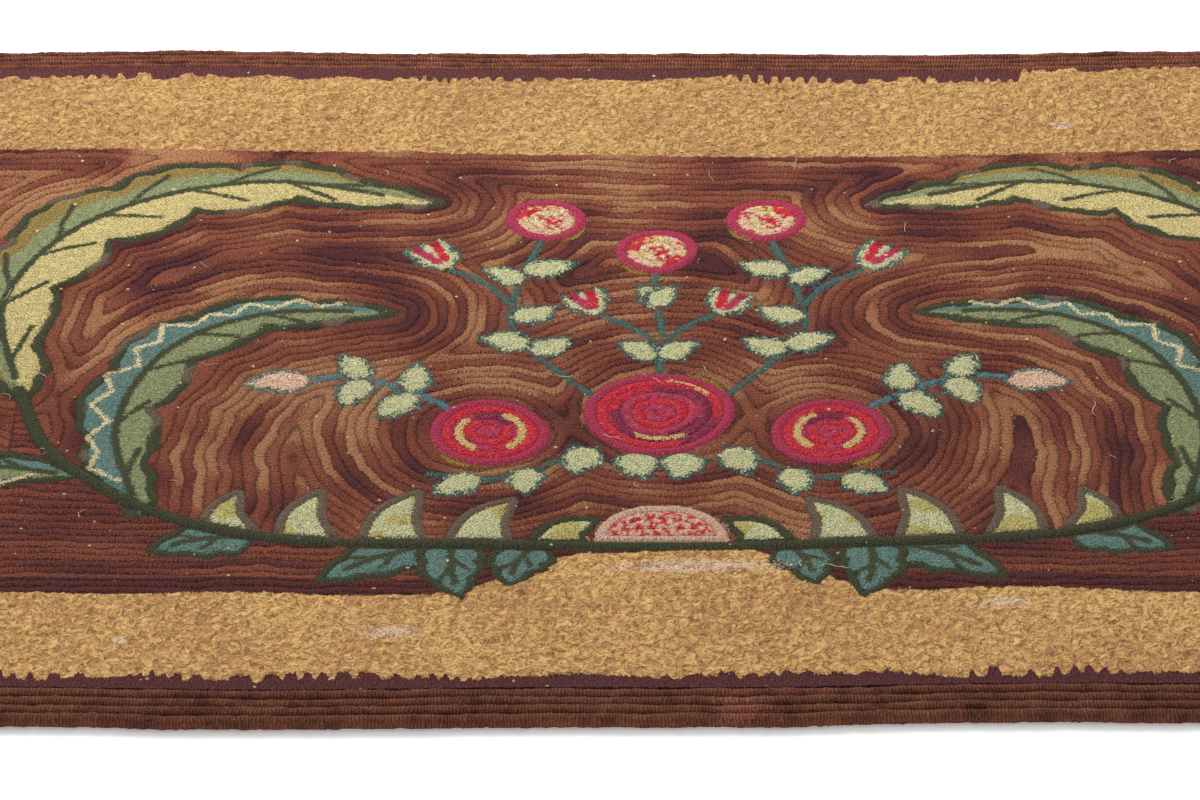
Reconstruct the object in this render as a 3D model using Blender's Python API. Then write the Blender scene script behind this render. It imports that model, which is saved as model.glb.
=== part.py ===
"""A hooked rug lying flat: one oblong mat of cloth, hooked all over with yarn.

Metres, +Z up, +X along the rug. The origin is on the surface the rug lies on, under its
middle. The solid reaches as far as the yarn does: its underside is the flat foundation
cloth, its top is the crest of the pile, and its edge is the round outermost cord row.
"""

import math

import bmesh
import bpy
from mathutils import Vector

LENGTH = 1.480
WIDTH = 0.710
THICKNESS = 0.0085  # from the underside of the cloth to the crest of the loops
CORNER = 0.022  # how far in from each side a corner is rounded

CELLS_LONG = 96
CELLS_WIDE = 24

# The edge row in section, from the surface up: how far in from the outline, how high.
EDGE_SECTION = (
    {"inset": 0.0024, "height": 0.0},
    {"inset": 0.0003, "height": 0.0026},
    {"inset": 0.0003, "height": 0.0054},
)
TOP_INSET = 0.0026

# Slow waves of the outline: how far an edge swings out, its wave length and its phase.
NEAR_WAVES = (
    {"swing": 0.0030, "length": 1.10, "phase": 2.70},
    {"swing": 0.0009, "length": 0.27, "phase": 0.40},
)
FAR_WAVES = (
    {"swing": 0.0020, "length": 0.74, "phase": 4.10},
    {"swing": 0.0012, "length": 0.33, "phase": 1.10},
)
END_WAVES = (
    {"swing": 0.0022, "length": 0.52, "phase": 1.30},
    {"swing": 0.0010, "length": 0.19, "phase": 0.20},
)

# Soft rises and hollows left in the rug by rolling and use. Each is an oval of the
# length and width given, turned from the rug's length by the angle in degrees.
RIPPLES = (
    {"x": -0.060, "y": 0.205, "length": 0.110, "width": 0.022, "turn": 24, "rise": 0.0017},
    {"x": 0.215, "y": 0.190, "length": 0.160, "width": 0.034, "turn": -12, "rise": 0.0012},
    {"x": -0.330, "y": -0.130, "length": 0.150, "width": 0.040, "turn": 8, "rise": 0.0013},
    {"x": 0.060, "y": -0.225, "length": 0.200, "width": 0.030, "turn": 3, "rise": 0.0014},
    {"x": 0.560, "y": 0.040, "length": 0.070, "width": 0.200, "turn": 6, "rise": 0.0015},
    {"x": -0.590, "y": -0.020, "length": 0.060, "width": 0.180, "turn": -9, "rise": 0.0013},
    {"x": 0.010, "y": -0.010, "length": 0.240, "width": 0.120, "turn": 0, "rise": -0.0009},
    {"x": 0.430, "y": -0.240, "length": 0.120, "width": 0.050, "turn": 20, "rise": -0.0008},
)
LEAST_TOP = THICKNESS - 0.0015


def wave(waves, along):
    """How far the edge is off its straight line at a distance along it."""
    return sum(
        w["swing"] * math.sin(2 * math.pi * along / w["length"] + w["phase"]) for w in waves
    )


def rounded(across_x, across_y):
    """Draws a point of the plain oblong in where it is close to a corner."""
    from_end = LENGTH / 2 - abs(across_x)
    from_side = WIDTH / 2 - abs(across_y)
    if from_end >= CORNER or from_side >= CORNER:
        return across_x, across_y
    a, b = 1 - from_end / CORNER, 1 - from_side / CORNER
    out_x = a * math.sqrt(1 - b * b / 2) * CORNER
    out_y = b * math.sqrt(1 - a * a / 2) * CORNER
    return (
        math.copysign(LENGTH / 2 - CORNER + out_x, across_x),
        math.copysign(WIDTH / 2 - CORNER + out_y, across_y),
    )


def in_plan(u, v, inset=0.0):
    """The place in plan of a point of the rug: u runs from -1 to 1 along it and v across."""
    x, y = rounded(u * LENGTH / 2, v * WIDTH / 2)
    near, far = (1 - v) / 2, (1 + v) / 2
    out_y = far * wave(FAR_WAVES, x) - near * wave(NEAR_WAVES, x)
    out_x = u * wave(END_WAVES, y)
    return (x + out_x) * (1 - 2 * inset / LENGTH), (y + out_y) * (1 - 2 * inset / WIDTH)


def top_height(x, y):
    """The height of the pile's crest over the surface."""
    height = THICKNESS
    for r in RIPPLES:
        turn = math.radians(r["turn"])
        along = (x - r["x"]) * math.cos(turn) + (y - r["y"]) * math.sin(turn)
        across = (y - r["y"]) * math.cos(turn) - (x - r["x"]) * math.sin(turn)
        height += r["rise"] * math.exp(
            -((2 * along / r["length"]) ** 2) - (2 * across / r["width"]) ** 2
        )
    return max(height, LEAST_TOP)


def rim():
    """The grid places round the rug's edge, once round, seen from above against the clock."""
    n, m = CELLS_LONG, CELLS_WIDE
    near = [(i, 0) for i in range(n)]
    right = [(n, j) for j in range(m)]
    far = [(i, m) for i in range(n, 0, -1)]
    left = [(0, j) for j in range(m, 0, -1)]
    return near + right + far + left


def parameters(i, j):
    return 2 * i / CELLS_LONG - 1, 2 * j / CELLS_WIDE - 1


def rug_mesh():
    """A grid of the uneven top, rings round the edge cord, and one flat face underneath."""
    bm = bmesh.new()
    top = {}
    for i in range(CELLS_LONG + 1):
        for j in range(CELLS_WIDE + 1):
            x, y = in_plan(*parameters(i, j), inset=TOP_INSET)
            top[i, j] = bm.verts.new(Vector((x, y, top_height(x, y))))
    for i in range(CELLS_LONG):
        for j in range(CELLS_WIDE):
            bm.faces.new((top[i, j], top[i + 1, j], top[i + 1, j + 1], top[i, j + 1]))

    above = [top[place] for place in rim()]
    for ring in reversed(EDGE_SECTION):
        below = []
        for place in rim():
            x, y = in_plan(*parameters(*place), inset=ring["inset"])
            below.append(bm.verts.new(Vector((x, y, ring["height"]))))
        for k, corner in enumerate(above):
            after = (k + 1) % len(above)
            bm.faces.new((corner, below[k], below[after], above[after]))
        above = below
    bm.faces.new(list(reversed(above)))

    mesh = bpy.data.meshes.new("hooked_rug")
    bm.to_mesh(mesh)
    bm.free()
    mesh.shade_smooth()
    mesh.set_sharp_from_angle(angle=math.radians(50))
    return mesh


def hooked_wool():
    """Dull brown wool, the colour of the ground rows."""
    material = bpy.data.materials.new("hooked_wool")
    material.use_nodes = True
    surface = material.node_tree.nodes["Principled BSDF"]
    surface.inputs["Base Color"].default_value = (0.16, 0.055, 0.035, 1)
    surface.inputs["Roughness"].default_value = 0.95
    surface.inputs["Metallic"].default_value = 0.0
    return material


for leftover in list(bpy.data.objects):
    bpy.data.objects.remove(leftover)

rug = bpy.data.objects.new("hooked_rug", rug_mesh())
rug.data.materials.append(hooked_wool())
bpy.context.scene.collection.objects.link(rug)
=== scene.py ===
import math

import bpy
import numpy as np
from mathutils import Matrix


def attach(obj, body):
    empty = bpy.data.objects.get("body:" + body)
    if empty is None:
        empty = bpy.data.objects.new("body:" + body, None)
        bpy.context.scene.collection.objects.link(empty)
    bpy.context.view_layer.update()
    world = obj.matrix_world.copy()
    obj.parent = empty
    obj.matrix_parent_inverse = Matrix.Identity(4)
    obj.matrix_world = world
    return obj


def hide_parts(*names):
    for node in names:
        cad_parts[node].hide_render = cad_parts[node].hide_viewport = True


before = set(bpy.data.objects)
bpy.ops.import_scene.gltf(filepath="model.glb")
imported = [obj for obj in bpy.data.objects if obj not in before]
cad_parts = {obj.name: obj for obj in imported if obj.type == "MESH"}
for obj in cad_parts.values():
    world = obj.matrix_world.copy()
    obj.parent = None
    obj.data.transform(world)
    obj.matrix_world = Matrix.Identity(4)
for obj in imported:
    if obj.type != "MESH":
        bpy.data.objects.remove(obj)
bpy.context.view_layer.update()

# ------ the drawn cloth
# The foundation is one oblong of coarse linen, laid out on a table, and the whole
# pattern is drawn on it before any hooking. Its places are kept here as a fine
# lattice of points, as if the cloth were pulled quite straight.

LENGTH, WIDTH = 1.480, 0.710
CORNER = 0.022
THICKNESS = 0.0085
NEAR_CORDS, FAR_CORDS, END_CORDS = 0.0290, 0.0216, 0.0284
STEP = 0.00165


def drawn_lines(low, high):
    return np.linspace(low, high, round((high - low) / STEP) + 1)


LINE_X = drawn_lines(-LENGTH / 2 + END_CORDS, LENGTH / 2 - END_CORDS)
LINE_Y = drawn_lines(-WIDTH / 2 + NEAR_CORDS, WIDTH / 2 - FAR_CORDS)
X, Y = np.meshgrid(LINE_X, LINE_Y)


def wave(waves, along):
    """How far an edge is off its straight line, from its waves' swing, length and phase."""
    return sum(s * np.sin(2 * math.pi * along / length + p) for s, length, p in waves)


NEAR_WAVES = ((0.0030, 1.10, 2.70), (0.0009, 0.27, 0.40))
FAR_WAVES = ((0.0020, 0.74, 4.10), (0.0012, 0.33, 1.10))
END_WAVES = ((0.0022, 0.52, 1.30), (0.0010, 0.19, 0.20))


def as_it_lies(x, y):
    """Where a point of the straight drawing lies on the real rug, whose edges wander."""
    u, v = 2 * x / LENGTH, 2 * y / WIDTH
    out_y = (1 + v) / 2 * wave(FAR_WAVES, x) - (1 - v) / 2 * wave(NEAR_WAVES, x)
    return x + u * wave(END_WAVES, y), y + out_y


# Each soft ripple: its middle, its length and width, its turn in degrees and its rise.
RIPPLES = (
    (-0.060, 0.205, 0.110, 0.022, 24, 0.0017),
    (0.215, 0.190, 0.160, 0.034, -12, 0.0012),
    (-0.330, -0.130, 0.150, 0.040, 8, 0.0013),
    (0.060, -0.225, 0.200, 0.030, 3, 0.0014),
    (0.560, 0.040, 0.070, 0.200, 6, 0.0015),
    (-0.590, -0.020, 0.060, 0.180, -9, 0.0013),
    (0.010, -0.010, 0.240, 0.120, 0, -0.0009),
    (0.430, -0.240, 0.120, 0.050, 20, -0.0008),
)


def crest(x, y):
    """The height that the yarn reaches over the floor: rolling and use left soft ripples."""
    height = np.full(np.shape(x), THICKNESS)
    for at_x, at_y, length, width, degrees, rise in RIPPLES:
        turn = math.radians(degrees)
        along = (x - at_x) * math.cos(turn) + (y - at_y) * math.sin(turn)
        across = (y - at_y) * math.cos(turn) - (x - at_x) * math.sin(turn)
        height += rise * np.exp(-((2 * along / length) ** 2) - (2 * across / width) ** 2)
    return height


def wander(x, y, size, seed):
    """A slow hand-made unevenness, from about -1 to 1, with swells of about this size."""
    random = np.random.default_rng(seed)
    total = 0
    for _ in range(7):
        turn, phase = random.uniform(0, 2 * math.pi, 2)
        pace = 2 * math.pi / (size * random.uniform(1.4, 3.0))
        total = total + np.sin((x * math.cos(turn) + y * math.sin(turn)) * pace + phase)
    return total / 2.6


def softened(values, times):
    for _ in range(times):
        padded = np.pad(values, 1, mode="edge")
        values = (
            padded[:-2, 1:-1] + padded[2:, 1:-1] + padded[1:-1, :-2] + padded[1:-1, 2:]
            + 2 * padded[1:-1, 1:-1]
        ) / 6
    return values


def smooth_line(points, count=48):
    """A smooth drawn line through a few places, as that many points."""
    p = np.array(points, float)
    p = np.vstack([2 * p[0] - p[1], p, 2 * p[-1] - p[-2]])
    t = np.linspace(0, len(p) - 3 - 1e-9, count)
    k = t.astype(int)
    t = (t - k)[:, None]
    a, b, c, d = p[k], p[k + 1], p[k + 2], p[k + 3]
    return 0.5 * (
        2 * b + (c - a) * t + (2 * a - 5 * b + 4 * c - d) * t**2
        + (3 * b - a - 3 * c + d) * t**3
    )


def arc(x, y, radius, bend, mirror=1):
    """Points round (x, y), at these angles."""
    return np.stack([x + mirror * radius * np.cos(bend), y + radius * np.sin(bend)], 1)


def beside(line, reach):
    """The part of the lattice within reach of a line. Of each point there: how far along
    the line it is, how far it is from the line, and on which side, left being 1."""
    low, high = line.min(0) - reach, line.max(0) + reach
    window = (
        slice(*np.searchsorted(LINE_Y, (low[1], high[1]))),
        slice(*np.searchsorted(LINE_X, (low[0], high[0]))),
    )
    x, y = X[window], Y[window]
    along, distance, side = np.zeros(x.shape), np.full(x.shape, 9.0), np.ones(x.shape)
    run = 0.0
    for (ax, ay), (bx, by) in zip(line[:-1], line[1:]):
        dx, dy = bx - ax, by - ay
        length = math.hypot(dx, dy)
        t = np.clip(((x - ax) * dx + (y - ay) * dy) / length**2, 0, 1)
        away = np.hypot(x - ax - t * dx, y - ay - t * dy)
        nearer = away < distance
        distance[nearer] = away[nearer]
        along[nearer] = run + t[nearer] * length
        side[nearer] = np.sign(dx * (y - ay) - dy * (x - ax))[nearer]
        run += length
    return window, along / run, distance, side


# ------ outlines and fills
# The hooker works each leaf and flower first: one row of dark yarn along its outline,
# then its inside, then the ribs and streaks. Each kind of row is kept as how deep a
# point lies inside it, with the yarn it is worked in, so rows keep crisp edges.

ROW = 0.0065


def dyed(red, green, blue):
    """A yarn's colour as the renderer wants it, from its 0 to 255 values."""
    return tuple((c / 255) ** 2.2 for c in (red, green, blue))


class Rows:
    """One layer of worked rows over the whole cloth."""

    def __init__(self):
        self.depth = np.full(X.shape, -0.012)
        self.yarn = np.zeros(X.shape + (3,))

    def work(self, window, depth, yarn):
        here = depth > self.depth[window]
        self.depth[window][here] = depth[here]
        yarns = np.broadcast_to(np.asarray(yarn, float), depth.shape + (3,))
        self.yarn[window][here] = yarns[here]

    def clear(self, window, depth):
        """Keeps these rows out of a shape that is worked over them."""
        self.depth[window] = np.minimum(self.depth[window], -depth)


outlines, fills, marks = Rows(), Rows(), Rows()
ridges = np.full(X.shape, 0.5)
lifts = np.zeros(X.shape)
loose = np.zeros(X.shape)
across_x, across_y = np.zeros(X.shape), np.ones(X.shape)


def work_shape(
    window, depth, edge_yarn, edge, fill_yarn=None, lift=0.0003, rows=None, ragged=0.0
):
    """Hooks one shape: a row of edge_yarn, edge wide, and fill_yarn inside it. The inside
    has rows of its own if rows gives their width, or else an even pile. A ragged edge has
    its loops pulled out unevenly."""
    over = depth > 0
    outlines.depth[window][over] = -0.012
    outlines.work(window, depth, edge_yarn)
    fills.clear(window, depth)
    marks.clear(window, depth)
    if fill_yarn is not None:
        fills.work(window, depth - edge, fill_yarn)
    near = depth > -0.002
    inside = np.maximum(depth - edge, 0)
    count = inside / rows if rows else np.minimum(inside / edge, 0.5)
    ridges[window][near] = (np.minimum(depth / edge, 1) + count)[near]
    lifts[window][over] = (lift * np.minimum(depth / 0.002, 1))[over]
    loose[window][depth > -0.005] = ragged
    down, along = np.gradient(depth)
    size = np.hypot(down, along) + 1e-9
    across_x[window][near] = (along / size)[near]
    across_y[window][near] = (down / size)[near]


def work_line(line, width, yarn, layer=None, lift=0.0003, ragged=0.0):
    """Hooks one drawn line as a row of this width, on its own or as a mark in a shape."""
    window, along, distance, side = beside(line, width + 0.008)
    depth = width / 2 - distance
    if layer is None:
        work_shape(window, depth, yarn, width, lift=lift, ragged=ragged)
    else:
        layer.work(window, depth, yarn)


# ------ feather leaves
# Long scrolled leaves, worked first because the brown ground echoes round them. Each
# is a curved midrib with scalloped halves in two shades, outlined in dark green.

DARK_GREEN = dyed(70, 72, 54)
TAUPE = dyed(108, 92, 78)
OLIVE = dyed(134, 114, 66)
STRAW = dyed(188, 171, 116)
SAGE = dyed(128, 134, 96)
TEAL = dyed(92, 118, 110)
CREAM = dyed(206, 190, 148)

# A leaf's midrib from its foot, the widths and yarns of its halves, its lobes, and in one
# leaf a second yarn along the midrib. The others have a zigzag of cream there.
FEATHERS = (
    {
        "line": ((0.374, -0.050), (0.392, 0.060), (0.345, 0.150), (0.245, 0.192), (0.132, 0.168)),
        "outer": 0.033, "inner": 0.037, "lobes": 6, "strip": 0.46,
        "outer_yarn": OLIVE, "strip_yarn": SAGE, "inner_yarn": STRAW,
    },
    {
        "line": ((0.296, -0.168), (0.316, -0.080), (0.292, 0.000), (0.235, 0.042), (0.156, 0.046)),
        "outer": 0.025, "inner": 0.026, "lobes": 5,
        "outer_yarn": TEAL, "inner_yarn": SAGE,
    },
    {
        "line": ((0.395, -0.040), (0.452, 0.022), (0.520, 0.090), (0.612, 0.104)),
        "outer": 0.030, "inner": 0.030, "lobes": 5,
        "outer_yarn": TEAL, "inner_yarn": SAGE,
    },
    {
        "line": ((0.334, -0.130), (0.420, -0.112), (0.510, -0.108), (0.600, -0.122)),
        "outer": 0.021, "inner": 0.021, "lobes": 4,
        "outer_yarn": SAGE, "inner_yarn": TEAL,
    },
)
OUTLINE, MIDRIB, VEIN, ZIGZAG = 0.0062, 0.0048, 0.0036, 0.0029
ground_seeds = []


def feather_width(feather, t, side):
    """Half the leaf's width at a share t of its length, on its outer or inner side."""
    full = np.where(side > 0, feather["inner"], feather["outer"])
    swell = np.sin(math.pi * np.clip(t, 0, 1) ** 0.85) ** 0.62
    lobes = np.abs(np.sin(math.pi * (feather["lobes"] * t + 0.25 * side))) ** 0.7
    return full * swell * (0.70 + 0.34 * lobes) + 0.0025


def place_on(line, t, off):
    """The places beside a line at shares t of its length and distances off to its left."""
    k = np.clip(t, 0, 1) * (len(line) - 1)
    i = np.minimum(k.astype(int), len(line) - 2)
    step = line[i + 1] - line[i]
    normal = np.stack([-step[:, 1], step[:, 0]], 1) / np.hypot(*step.T)[:, None]
    return line[i] + step * (k - i)[:, None] + normal * off[:, None]


def work_feather(feather, mirror):
    line = smooth_line([(mirror * x, y) for x, y in feather["line"]], 60)
    window, t, distance, left = beside(line, 0.055)
    side = left * mirror
    half = feather_width(feather, t, side)
    depth = half - distance + 0.0011 * wander(X[window], Y[window], 0.009, 6)
    worn = wander(X[window], Y[window], 0.020, 5)[..., None]
    edge_yarn = np.where(worn > 0.75, TAUPE, DARK_GREEN)
    within = (distance / half)[..., None]
    outer = feather["outer_yarn"]
    if "strip" in feather:
        outer = np.where(within < feather["strip"], feather["strip_yarn"], outer)
    fill = np.where(side[..., None] > 0, feather["inner_yarn"], outer)
    work_shape(window, depth, edge_yarn, OUTLINE, fill)
    for way in (-1, 1):
        s = np.linspace(0, 1, 260)
        rim = feather_width(feather, s, np.full(s.shape, way)) * way * mirror
        ground_seeds.append(place_on(line, s, rim))

    work_line(line[3:-5], MIDRIB, DARK_GREEN, marks)
    for k in range(1, feather["lobes"] + 1):
        for way in (-1, 1):
            start = (k - 0.35 * (way > 0)) / (feather["lobes"] + 1.2)
            shares = np.array([start, start + 0.035, start + 0.075])
            reach = feather_width(feather, shares[2:], np.array([way]))[0] * 0.62
            off = np.array([0, 0.5, 1.0]) * reach * way * mirror
            if "strip" in feather or way > 0:
                work_line(place_on(line, shares, off), VEIN, DARK_GREEN, marks)
    if "strip" not in feather:
        s = np.linspace(0.10, 0.90, 4 * feather["lobes"])
        swing = np.where(np.arange(len(s)) % 2, 0.72, 0.30) + 0.12 * wander(s, 0 * s, 0.09, 7)
        off = -feather_width(feather, s, np.full(s.shape, -1)) * swing * mirror
        work_line(place_on(line, s, off), ZIGZAG, CREAM, marks)


for feather in FEATHERS:
    for mirror in (-1, 1):
        work_feather(feather, mirror)


# ------ flower spray
# A spray of round roses, tulips and small leaves on thin blue-green stems fills the
# middle. It is worked in bright dyed wool, both halves alike.

STEM = dyed(76, 106, 98)
STEM_LIGHT = dyed(82, 130, 136)
LEAF = dyed(182, 180, 136)
MAGENTA = dyed(170, 60, 84)
RED = dyed(188, 48, 62)
PLUM = dyed(128, 48, 70)
PINK_CREAM = dyed(206, 166, 142)
YELLOW_CREAM = dyed(202, 172, 110)
MUSTARD = dyed(150, 120, 56)

STEMS = (
    ((0.000, -0.024), (0.003, 0.020), (-0.002, 0.062), (0.000, 0.094)),
    ((0.034, -0.050), (0.062, -0.014), (0.086, 0.026), (0.084, 0.074), (0.070, 0.128)),
    ((0.087, 0.052), (0.102, 0.076), (0.124, 0.092)),
    ((0.002, 0.012), (0.016, 0.030), (0.036, 0.044)),
    ((0.116, -0.062), (0.150, -0.036), (0.184, -0.024), (0.214, -0.028)),
    ((0.060, -0.112), (0.082, -0.126), (0.108, -0.130), (0.132, -0.124)),
)
# A leaf or tulip: where it starts, its turn in degrees, and how long and wide it is.
LEAVES = (
    (0.002, -0.004, 38, 0.026, 0.0135),
    (-0.001, 0.052, 62, 0.024, 0.0125),
    (0.076, 0.004, 150, 0.027, 0.0140),
    (0.078, 0.008, 22, 0.028, 0.0145),
    (0.087, 0.040, 158, 0.027, 0.0140),
    (0.082, 0.078, 34, 0.026, 0.0130),
    (0.080, 0.092, 164, 0.030, 0.0140),
    (0.146, -0.038, 96, 0.027, 0.0140),
    (0.142, -0.044, -48, 0.030, 0.0150),
    (0.176, -0.026, 66, 0.026, 0.0135),
    (0.172, -0.028, -66, 0.028, 0.0150),
    (0.012, -0.104, -96, 0.024, 0.0190),
    (0.038, -0.100, -62, 0.026, 0.0170),
    (0.074, -0.120, -82, 0.024, 0.0150),
    (0.104, -0.130, -28, 0.028, 0.0150),
)
TULIPS = (
    (0.126, 0.094, 58, 0.036),
    (0.036, 0.043, 66, 0.030),
)
# A rose's rows are told from its rim in. Petals and streaks go round it, in degrees, and
# out from its middle, in shares of its radius.
ROSES = (
    {"x": 0.000, "y": -0.062, "radius": 0.0435,
     "rows": (RED, PLUM, MAGENTA, RED, MAGENTA, RED), "flecked": False, "rim": (25, 70),
     "petals": ((100, 175, 0.55, 0.86, RED), (-70, -10, 0.50, 0.84, PLUM)),
     "streaks": ((-120, -60, 0.62, 0.0030), (35, 80, 0.80, 0.0026))},
    {"x": 0.099, "y": -0.082, "radius": 0.0345,
     "rows": (RED, MAGENTA, RED, MAGENTA, RED), "flecked": False, "rim": (-75, -35),
     "petals": ((60, 150, 0.30, 0.62, PLUM), (-160, -100, 0.3, 0.62, RED)),
     "streaks": ((120, 230, 0.56, 0.0046), (-60, 40, 0.52, 0.0042))},
    {"x": 0.068, "y": 0.150, "radius": 0.0245,
     "rows": (PINK_CREAM, CREAM, PINK_CREAM), "flecked": True, "rim": (200, 250),
     "petals": ((10, 100, 0.42, 0.75, RED), (180, 260, 0.5, 0.75, RED)), "streaks": ()},
    {"x": 0.000, "y": 0.114, "radius": 0.0250,
     "rows": (PINK_CREAM, CREAM, PINK_CREAM), "flecked": True, "rim": (215, 260),
     "petals": ((100, 180, 0.42, 0.75, RED), (-80, -20, 0.5, 0.75, RED)), "streaks": ()},
)
ROSE_ROW = 0.0068
STEM_WIDTH, SPRIG_EDGE = 0.0046, 0.0030


def both_sides(x):
    """A motif off the middle line is worked twice, once on each side."""
    return (-1, 1) if abs(x) > 0.004 else (1,)


def swell(t, full=0.72):
    return np.sin(math.pi * np.clip(t, 0, 1) ** full) ** 0.75


def leaf_line(x, y, turn, length, bend, mirror):
    """A short bent line from (x, y), turn degrees from straight right."""
    a = math.radians(turn)
    tip = np.array((x + length * math.cos(a), y + length * math.sin(a)))
    mid = (np.array((x, y)) + tip) / 2 + bend * np.array((-math.sin(a), math.cos(a)))
    return smooth_line([(mirror * px, py) for px, py in ((x, y), mid, tip)], 14)


def work_leaf(x, y, turn, length, width, mirror, yarn=LEAF, edge_yarn=STEM):
    line = leaf_line(x, y, turn, length, 0.002, mirror)
    window, t, distance, side = beside(line, width + 0.012)
    depth = width * 0.62 * swell(t) + 0.0026 - distance
    work_shape(window, depth, edge_yarn, SPRIG_EDGE, yarn, ragged=1.0)


def work_rose(rose, mirror):
    x, y, radius = mirror * rose["x"], rose["y"], rose["radius"]
    line = np.array(((x - 0.0005, y), (x + 0.0005, y)))
    window, t, distance, side = beside(line, radius + 0.012)
    off_x, off_y = X[window] - x, Y[window] - y
    turn = np.arctan2(off_y, off_x * mirror)
    lean = 1 + 0.03 * np.sin(2 * turn + 0.6) + 0.018 * np.sin(3 * turn + x * 90)
    inward = radius - np.hypot(off_x, off_y) / lean
    curl = 0.35 * ROSE_ROW * np.sin(3 * turn + 1.0) * np.clip(inward / radius * 3 - 0.5, 0, 1)
    ring = np.clip(((inward + curl) / ROSE_ROW).astype(int), 1, len(rose["rows"])) - 1
    yarns = np.array(rose["rows"])[ring]
    for start, stop, low, high, yarn in rose["petals"]:
        petal = (turn > math.radians(start)) & (turn < math.radians(stop))
        reach = 1 - inward / radius
        yarns = np.where((petal & (reach > low) & (reach < high))[..., None], yarn, yarns)
    if rose["flecked"]:
        fleck = wander(X[window], Y[window], 0.0022, 11) + wander(off_x, off_y, 0.009, 12)
        yarns = np.where((fleck > 0.75)[..., None], RED, yarns)
        yarns = np.where((fleck < -1.2)[..., None], YELLOW_CREAM, yarns)
    work_shape(window, inward, MAGENTA, ROSE_ROW, yarns, lift=0.0006, rows=ROSE_ROW)
    for start, stop, reach, width in rose["streaks"]:
        streak = arc(x, y, radius * reach, np.radians(np.linspace(start, stop, 16)), mirror)
        work_line(streak, width, YELLOW_CREAM, marks)
    rim = arc(x, y, radius + 0.002, np.radians(np.linspace(*rose["rim"], 20)), mirror)
    window, t, distance, side = beside(rim, 0.012)
    off = np.hypot(X[window] - x, Y[window] - y) - radius
    depth = np.minimum(0.0028 * np.sin(math.pi * t) - np.abs(off - 0.001), off + 0.001)
    outlines.work(window, depth, MUSTARD)


def work_tulip(x, y, turn, length, mirror):
    line = leaf_line(x, y, turn, length * 1.8, 0, mirror)
    window, t, distance, side = beside(line, 0.024)
    up = t * length * 1.8
    cup = 0.0125 * np.minimum(up / 0.012, 1) ** 0.5 * (1 + 0.12 * up / length) + 0.001 - distance
    top = length * 0.86 + 0.003 * np.cos(distance * 560) - up
    work_shape(window, np.minimum(cup, top), STEM, 0.0028, LEAF, ragged=1.0)
    for spread in (-13, 13):
        line = leaf_line(x, y, turn + spread, length * 0.80, 0, mirror)
        work_line(line[5:], 0.0062, RED if spread > 0 else MAGENTA, marks)


for stem in STEMS:
    for mirror in both_sides(max(abs(x) for x, y in stem)):
        line = smooth_line([(mirror * x, y) for x, y in stem], 30)
        work_line(line, STEM_WIDTH, STEM if stem[0][0] < 0.1 else STEM_LIGHT, ragged=0.7)
for leaf in LEAVES:
    for mirror in (-1, 1):
        work_leaf(*leaf, mirror)
for tulip in TULIPS:
    for mirror in (-1, 1):
        work_tulip(*tulip, mirror)
for rose in ROSES:
    for mirror in both_sides(rose["x"]):
        work_rose(rose, mirror)
for mirror in (-1, 1):
    work_leaf(0.206, -0.030, -4, 0.036, 0.0160, mirror, yarn=PINK_CREAM, edge_yarn=TEAL)


# ------ garland
# A thick raised row of dark green wool swings from side to side under the spray. Pale
# pointed leaves and a half flower stand on it, and blue-green leaves hang below it.

GARLAND = (
    (0.376, -0.040), (0.352, -0.104), (0.296, -0.158), (0.218, -0.187), (0.110, -0.193),
    (0.000, -0.196),
)
# A leaf of the garland: how far from the middle, its turn, and how long and wide it is.
STANDING = (
    (0.060, 128, 0.036, 0.030),
    (0.104, 112, 0.050, 0.033),
    (0.152, 104, 0.055, 0.034),
    (0.200, 96, 0.052, 0.030),
    (0.243, 92, 0.042, 0.026),
)
HANGING = (
    (0.072, -70, 0.040, 0.034),
    (0.128, -28, 0.072, 0.036),
    (0.118, -96, 0.050, 0.036),
    (0.232, -16, 0.058, 0.034),
)
MOSS = dyed(172, 160, 98)
garland = smooth_line(GARLAND + tuple((-x, y) for x, y in reversed(GARLAND[:-1])), 160)


def garland_height(x):
    """How far across the rug the garland runs, at a place along it."""
    return np.interp(x, garland[::-1, 0], garland[::-1, 1])


def work_standing(x, turn, length, width, mirror):
    y = float(garland_height(x))
    line = leaf_line(x, y - 0.004, turn, length, -0.006, mirror)
    window, t, distance, side = beside(line, width)
    depth = width / 2 * (1 - t**1.5) ** 0.8 + 0.004 - distance
    depth = np.minimum(depth, Y[window] - garland_height(X[window]))
    edge_yarn = TAUPE if x > 0.08 else DARK_GREEN
    stained = wander(X[window], Y[window], 0.015, 21)[..., None] > 0.45
    work_shape(window, depth, edge_yarn, 0.0060, np.where(stained, MOSS, LEAF))


def work_hanging(x, turn, length, width, mirror):
    y = float(garland_height(x))
    line = leaf_line(x, y, turn, length, 0.003, mirror)
    window, t, distance, side = beside(line, width)
    depth = width * 0.50 * swell(t, 0.6) * (0.84 + 0.2 * np.abs(np.sin(9.0 * t))) + 0.003 - distance
    depth = np.minimum(depth, garland_height(X[window]) - Y[window])
    work_shape(window, depth, DARK_GREEN, 0.0056, TEAL)
    work_line(line[:-3], 0.0044, DARK_GREEN, marks)
    for share, way in ((0.30, 1), (0.48, -1)):
        vein = place_on(line, np.array([share, share + 0.22]), np.array([0, 0.26 * way * width]))
        work_line(vein, 0.0034, DARK_GREEN, marks)


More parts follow.
